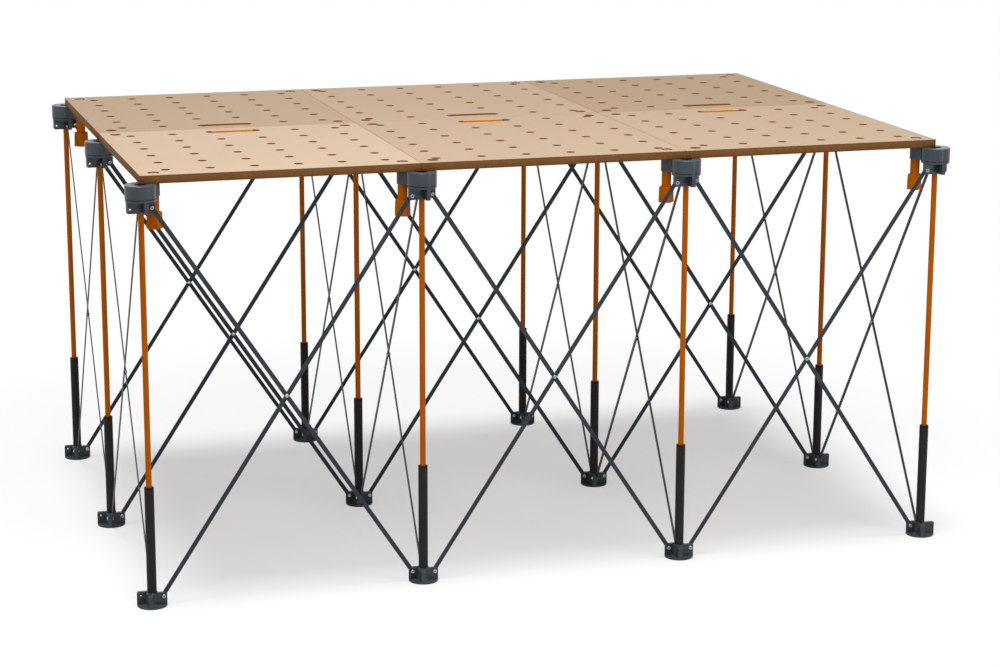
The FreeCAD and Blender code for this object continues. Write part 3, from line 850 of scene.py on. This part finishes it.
def bolt():
    """The cap bolt seated on a washer in a board's corner hole, with a hexagon for its key."""
    radius, high, seat = BOLT_D / 2, BOARD_TOP - BOLT_DOWN, BOARD_TOP - CORNER_HOLE_DEEP
    ring, ring_top = BOLT_RING_D / 2, seat + BOLT_RING_T
    profile = [(0, HEAD_TOP), (STUD_D / 2, HEAD_TOP), (STUD_D / 2, seat), (ring, seat), (ring, ring_top),
               (radius, ring_top)]
    profile += bend(radius - BOLT_ROUND, high - BOLT_ROUND, BOLT_ROUND, 0, 90) + [(0, high)]
    piece = lathe(profile, TUBE_STEPS)
    key = drum(BOLT_KEY, (high + seat) / 2, high + BOARD_T, sides=BOLT_KEY_SIDES)
    combine(piece, key, "DIFFERENCE")
    piece.data.transform(move(CLAMP_OUT, 0))
    return coat(smooth(piece), ZINC)


# Whole legs

def clamp_angle_of(row, n):
    """The way a leg's clamp points, or None where it has no clamp."""
    if row == "mid":
        return None
    return atan2(1 if row == "front" else -1, CLAMP_TURN[n])


def used_lugs(row, n):
    """The quarter turns, from +X, of the lugs that carry a bar on this leg."""
    in_use = (n < COLUMNS[-1], row != ROWS[-1], n > COLUMNS[0], row != ROWS[0])
    return [quarter for quarter, used in zip(QUARTER_TURNS, in_use) if used]


def rivet_set(pattern, lugs, pivot, side):
    """The rivets of one hub as one piece, through its lugs and the bars beside them."""
    start_at = LUG_OUT - LUG_GRIP if side > 0 else -LUG_OUT
    flat = move(PIVOT_OUT, start_at, pivot) @ LAID_ALONG_Y
    return joined([moved(pattern, quarter @ flat) for quarter in lugs])


def legs():
    pin, foot_piece, guide, slider = rivet(LUG_GRIP), foot(), collar(), plug()
    upper_tube = coat(pipe(UPPER_D, SOLE_H + FOOT_RUN + PLUG_FLOOR, HEAD_TOP - TUBE_SEAT), ORANGE_COAT)
    lower_tube = coat(pipe(LOWER_D, SOLE_H, LOWER_TOP), BLACK_COAT)
    clamp = {"clamp_knob": knob(), "clamp_stud": stud()}
    bolt_head = bolt()
    heads = {angle: head(angle) for angle in sorted({clamp_angle_of(*leg) for leg in LEG_AT} - {None})}
    heads[None] = head(None)
    for (row, n), leg in LEG_AT.items():
        here, label = Matrix.Translation(leg), f"{row}_{n}"
        lower, upper = f"lower_leg_{label}", f"upper_leg_{label}"
        angle, lugs = clamp_angle_of(row, n), used_lugs(row, n)
        place(foot_piece, f"foot_{label}", here, lower, "lower_leg", lower)
        place(lower_tube, f"lower_tube_{label}", here, lower, "lower_leg")
        place(guide, f"guide_collar_{label}", here, lower, "lower_leg")
        place(heads[angle], f"head_{label}", here, upper, "upper_leg", upper)
        place(upper_tube, f"upper_tube_{label}", here, upper, "upper_leg")
        place(slider, f"slide_plug_{label}", here, upper, "upper_leg")
        hubs = ((lower, "foot", FOOT_PIVOT, FOOT_SIDE), (upper, "head", HEAD_PIVOT, HEAD_SIDE))
        for body, name, pivot, side in hubs:
            pins = rivet_set(pin, lugs, pivot, side)
            place(pins, f"{name}_rivets_{label}", here, body, "bar_steel")
            used_up(pins)
        if angle is not None:
            for name, piece in clamp.items():
                place(piece, f"{name}_{label}", here @ turn(angle), upper, "upper_leg")
            place(bolt_head, f"board_bolt_{label}", here @ turn(angle), "worktop", "bar_steel")
    used_up(pin, foot_piece, guide, slider, upper_tube, lower_tube, bolt_head)
    used_up(*clamp.values(), *heads.values())


# Studio

FLOOR_HALF = 60.0
FLOOR_SEEN, FLOOR_BOUNCE = 1.0, 0.4  # the floor's white to the eye, and as light thrown back
FLOOR_GLOW = 0.475  # how far the floor near the platform is lifted to white, which lightens the shadow
GLOW_NEAR, GLOW_FAR = 1.15, 2.0  # and it is all white from the second distance on
WHITE = (1, 1, 1, 1)
DOME_LIGHT = 0.22
KEY_WAY, KEY_SOFTNESS, KEY_POWER = (0.06, 0.02, -1.0), 18, 2.08  # the softness in degrees
LIGHTS_TO = (0.0, -0.2, 0.6)
# Each softbox's place, what it faces, its size, its power and how wide it fans out, in degrees
SOFTBOXES = {"fill": ((-0.45, -1.9, 3.2), LIGHTS_TO, (1.4, 1.0), 22.0, 180),
             "front_top": ((0.0, -0.95, 2.6), (0.0, -0.95, 0.0), (2.4, 0.4), 3.2, 120),
             "left_strip": ((-3.3, -0.3, 1.1), LIGHTS_TO, (0.5, 2.0), 2.5, 180),
             "right_strip": ((2.3, -2.9, 1.2), LIGHTS_TO, (0.22, 2.0), 9.0, 180)}
CAMERA_AIM = Vector((0.0039, -0.1738, 0.449))
CAMERA_AWAY, CAMERA_AZIMUTH, CAMERA_ELEVATION, CAMERA_ROLL = 6.109, -106.7465, 13.2223, 0.1693
FOCAL_PIXELS, IMAGE_WIDTH, SENSOR_WIDTH = 2552.17, 1000, 36.0


def camera():
    az, el = radians(CAMERA_AZIMUTH), radians(CAMERA_ELEVATION)
    back = Vector((cos(el) * cos(az), cos(el) * sin(az), sin(el)))
    data = bpy.data.cameras.new("camera")
    data.sensor_fit, data.sensor_width = "HORIZONTAL", SENSOR_WIDTH
    data.lens = FOCAL_PIXELS / IMAGE_WIDTH * SENSOR_WIDTH
    eye = bpy.data.objects.new("camera", data)
    eye.matrix_world = (Matrix.Translation(CAMERA_AIM + back * CAMERA_AWAY)
                        @ (-back).to_track_quat("-Z", "Y").to_matrix().to_4x4()
                        @ Matrix.Rotation(radians(CAMERA_ROLL), 4, "Z"))
    bpy.context.scene.collection.objects.link(eye)
    bpy.context.scene.camera = eye


def sun(name, way, softness, power):
    """A broad studio light from far away, shining along a direction."""
    data = bpy.data.lights.new(name, "SUN")
    data.angle, data.energy = radians(softness), power
    light = bpy.data.objects.new(name, data)
    light.matrix_world = Vector(way).to_track_quat("-Z", "Y").to_matrix().to_4x4()
    bpy.context.scene.collection.objects.link(light)


def softbox(name, at, to, size, power, fan):
    """A rectangular studio light near the platform."""
    data = bpy.data.lights.new(name, "AREA")
    data.shape, data.energy, data.spread = "RECTANGLE", power, radians(fan)
    data.size, data.size_y = size
    light = bpy.data.objects.new(name, data)
    way = Vector(to) - Vector(at)
    light.matrix_world = Matrix.Translation(at) @ way.to_track_quat("-Z", "Y").to_matrix().to_4x4()
    bpy.context.scene.collection.objects.link(light)


def seen_directly(tree):
    """1 where a thing is seen straight, mirrored or through glass, and 0 for its light on others."""
    path, total = add(tree, "ShaderNodeLightPath"), None
    for ray in ("Is Camera Ray", "Is Glossy Ray", "Is Transmission Ray"):
        if total is None:
            total = path.outputs[ray]
            continue
        either = add(tree, "ShaderNodeMath", operation="MAXIMUM")
        tree.links.new(total, either.inputs[0])
        tree.links.new(path.outputs[ray], either.inputs[1])
        total = either.outputs[0]
    return total


def mixed(tree, factor, first, second, target):
    mix = add(tree, "ShaderNodeMixShader")
    for socket, value in zip(mix.inputs, (factor, first, second)):
        tree.links.new(value, socket)
    tree.links.new(mix.outputs[0], target)


def white_floor():
    """Shows the platform's shadow near it, and fades to plain white farther off."""
    floor = start(bpy.ops.mesh.primitive_plane_add, size=2 * FLOOR_HALF)
    floor.name = "floor"
    material, tree, shader, where = finish_of("white_floor")
    seen = seen_directly(tree)
    white = blend(tree, seen, (FLOOR_BOUNCE,) * 3 + (1,), (FLOOR_SEEN,) * 3 + (1,))
    tree.links.new(white, shader.inputs["Base Color"])
    shader.inputs["Roughness"].default_value = 1.0
    shader.inputs["Specular IOR Level"].default_value = 0.0
    glow = add(tree, "ShaderNodeEmission", Strength=1.0)
    away = add(tree, "ShaderNodeVectorMath", operation="LENGTH")
    tree.links.new(where, away.inputs[0])
    lift = add(tree, "ShaderNodeMapRange", From_Min=GLOW_NEAR, From_Max=GLOW_FAR, To_Min=FLOOR_GLOW,
               To_Max=1.0, interpolation_type="SMOOTHSTEP")
    tree.links.new(away.outputs["Value"], lift.inputs["Value"])
    share = add(tree, "ShaderNodeMath", operation="MULTIPLY")
    tree.links.new(seen, share.inputs[0])
    tree.links.new(lift.outputs["Result"], share.inputs[1])
    surface = tree.nodes["Material Output"].inputs["Surface"]
    mixed(tree, share.outputs[0], shader.outputs[0], glow.outputs[0], surface)
    coat(floor, material)


def backdrop():
    """White where it is seen, and a weak even light on everything."""
    world = bpy.data.worlds.new("studio")
    bpy.context.scene.world = world
    world.use_nodes = True
    tree = world.node_tree
    dome = tree.nodes["Background"]
    dome.inputs["Color"].default_value = WHITE
    dome.inputs["Strength"].default_value = DOME_LIGHT
    white = add(tree, "ShaderNodeBackground", Strength=1.0, Color=WHITE)
    surface = tree.nodes["World Output"].inputs["Surface"]
    mixed(tree, seen_directly(tree), dome.outputs[0], white.outputs[0], surface)


def lights():
    sun("key", KEY_WAY, KEY_SOFTNESS, KEY_POWER)
    for name, settings in SOFTBOXES.items():
        softbox(name, *settings)


boards_and_grips()
bars()
legs()
white_floor()
backdrop()
lights()
camera()
